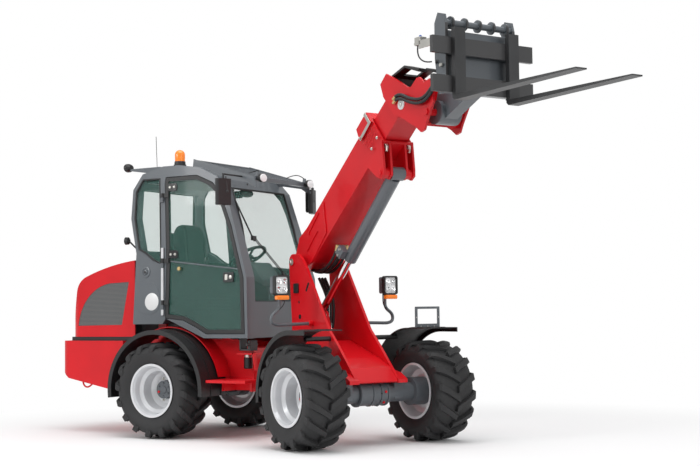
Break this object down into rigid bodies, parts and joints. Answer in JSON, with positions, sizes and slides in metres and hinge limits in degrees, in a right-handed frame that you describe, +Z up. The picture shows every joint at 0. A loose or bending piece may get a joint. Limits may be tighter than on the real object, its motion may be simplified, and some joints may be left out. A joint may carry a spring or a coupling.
{
  "type": "articulated telescopic wheel loader with pallet forks",
  "caption": "Articulated wheel loader with a closed cab, a telescopic lift boom and a pallet fork carriage, stored turned to its right with the boom raised.",
  "frame": {"origin": "on the ground, below the middle of the machine's bounding box at rest", "axes": "+X forward of the rear frame, +Y to its left, +Z up"},
  "size_m": [6.1325, 2.7394, 3.294],
  "materials": {
    "red_paint": "gloss red paint",
    "grey_paint": "satin blue-grey paint",
    "black_steel": "satin black paint",
    "cast_grey": "painted casting",
    "black_plastic": "moulded black plastic",
    "tyre": "black rubber",
    "rim": "silver-white paint",
    "glass": "green tint",
    "chrome": "polished rod",
    "seat": "black seat cloth",
    "lamp": "amber and clear lenses",
    "mesh": "grey mesh"
  },
  "bodies": {
    "rear_frame": {"rear_chassis": "red_paint", "rear_arches": "red_paint", "counterweight": "red_paint", "engine_block": "cast_grey", "hood_seal": "black_plastic", "rear_axle": "cast_grey", "cab_frame": "grey_paint", "cab_roof": "grey_paint", "cab_glass": "glass", "seat": "seat", "steering_column": "black_plastic", "roof_guard": "black_plastic", "roof_lights": "lamp", "mirrors": "black_plastic", "rear_fenders": "black_plastic"},
    "hood": {"hood": "red_paint", "hood_grilles": "mesh"},
    "door_right": {"door_right": "black_plastic", "door_glass_right": "glass"},
    "door_left": {"door_left": "black_plastic", "door_glass_left": "glass"},
    "front_frame": {"front_chassis": "red_paint", "nose_sheet": "red_paint", "front_axle": "cast_grey", "front_fenders": "black_plastic", "headlamps": "black_plastic"},
    "wheel_front_right": {"tyre_front_right": "tyre", "rim_front_right": "rim"},
    "wheel_front_left": {"tyre_front_left": "tyre", "rim_front_left": "rim"},
    "wheel_rear_right": {"tyre_rear_right": "tyre", "rim_rear_right": "rim"},
    "wheel_rear_left": {"tyre_rear_left": "tyre", "rim_rear_left": "rim"},
    "outer_boom": {"outer_boom": "red_paint"},
    "inner_boom": {"inner_boom": "red_paint"},
    "carriage": {"coupler": "grey_paint", "fork_carriage": "black_steel", "fork_right": "black_steel", "fork_left": "black_steel"},
    "lift_barrel": {"lift_barrel": "grey_paint"},
    "lift_rod": {"lift_rod": "chrome"},
    "steer_barrel": {"steer_barrel": "grey_paint"},
    "steer_rod": {"steer_rod": "chrome"}
  },
  "joints": [
    {"name": "articulation", "type": "hinge", "parent": "rear_frame", "child": "front_frame", "pos_m": [-0.6063, 0.54221, 0.5], "axis": [0, 0, 1], "range_deg": [-15.25, 64.75]},
    {"name": "wheel_rear_right_spin", "type": "hinge", "parent": "rear_frame", "child": "wheel_rear_right", "pos_m": [-1.6663, -0.09029, 0.425], "axis": [0, 1, 0], "continuous": true},
    {"name": "wheel_rear_left_spin", "type": "hinge", "parent": "rear_frame", "child": "wheel_rear_left", "pos_m": [-1.6663, 1.17471, 0.425], "axis": [0, 1, 0], "continuous": true},
    {"name": "wheel_front_right_spin", "type": "hinge", "parent": "front_frame", "child": "wheel_front_right", "pos_m": [0.08972, -0.47513, 0.425], "axis": [0.4187, 0.9081, 0], "continuous": true},
    {"name": "wheel_front_left_spin", "type": "hinge", "parent": "front_frame", "child": "wheel_front_left", "pos_m": [0.61932, 0.67367, 0.425], "axis": [0.4187, 0.9081, 0], "continuous": true},
    {"name": "hood_hinge", "type": "hinge", "parent": "rear_frame", "child": "hood", "pos_m": [-2.0913, 0.54221, 1.59], "axis": [0, 1, 0], "range_deg": [0, 55]},
    {"name": "door_right_hinge", "type": "hinge", "parent": "rear_frame", "child": "door_right", "pos_m": [-1.7163, -0.03878, 1.06138], "axis": [0.035, -0.0499, -0.9981], "range_deg": [0, 80]},
    {"name": "door_left_hinge", "type": "hinge", "parent": "rear_frame", "child": "door_left", "pos_m": [-1.7163, 1.1232, 1.06138], "axis": [-0.035, -0.0499, 0.9981], "range_deg": [0, 80]},
    {"name": "boom_lift", "type": "hinge", "parent": "front_frame", "child": "outer_boom", "pos_m": [-0.39288, 0.44383, 1.54], "axis": [-0.4187, -0.9081, 0], "range_deg": [-66, 21.6]},
    {"name": "telescope", "type": "slide", "parent": "outer_boom", "child": "inner_boom", "axis": [0.6916, -0.3188, 0.6481], "range_m": [-0.25, 0.5]},
    {"name": "attachment_tilt", "type": "hinge", "parent": "inner_boom", "child": "carriage", "pos_m": [1.33829, -0.35426, 2.61742], "axis": [0.4187, 0.9081, 0], "range_deg": [-75, 45]},
    {"name": "lift_barrel_swing", "type": "hinge", "parent": "outer_boom", "child": "lift_barrel", "pos_m": [0.74292, -0.07979, 2.21048], "axis": [-0.4187, -0.9081, 0], "range_deg": [-20, 20]},
    {"name": "lift_rod_slide", "type": "slide", "parent": "lift_barrel", "child": "lift_rod", "axis": [-0.6491, 0.2992, -0.6994], "range_m": [-0.54, 0.18]},
    {"name": "steer_barrel_swing", "type": "hinge", "parent": "rear_frame", "child": "steer_barrel", "pos_m": [-1.1663, 0.76221, 0.56], "axis": [0, 0, 1], "range_deg": [-10, 10]},
    {"name": "steer_rod_slide", "type": "slide", "parent": "steer_barrel", "child": "steer_rod", "axis": [0.995, -0.0998, 0], "range_m": [-0.23, 0.06]}
  ],
  "couplings": [
    {"joint": "lift_barrel_swing", "follows": "boom_lift", "ratio": -0.055},
    {"joint": "lift_rod_slide", "follows": "boom_lift", "m_per_rad": 0.39},
    {"joint": "steer_barrel_swing", "follows": "articulation", "ratio": 0.1025},
    {"joint": "steer_rod_slide", "follows": "articulation", "m_per_rad": -0.1925}
  ]
}
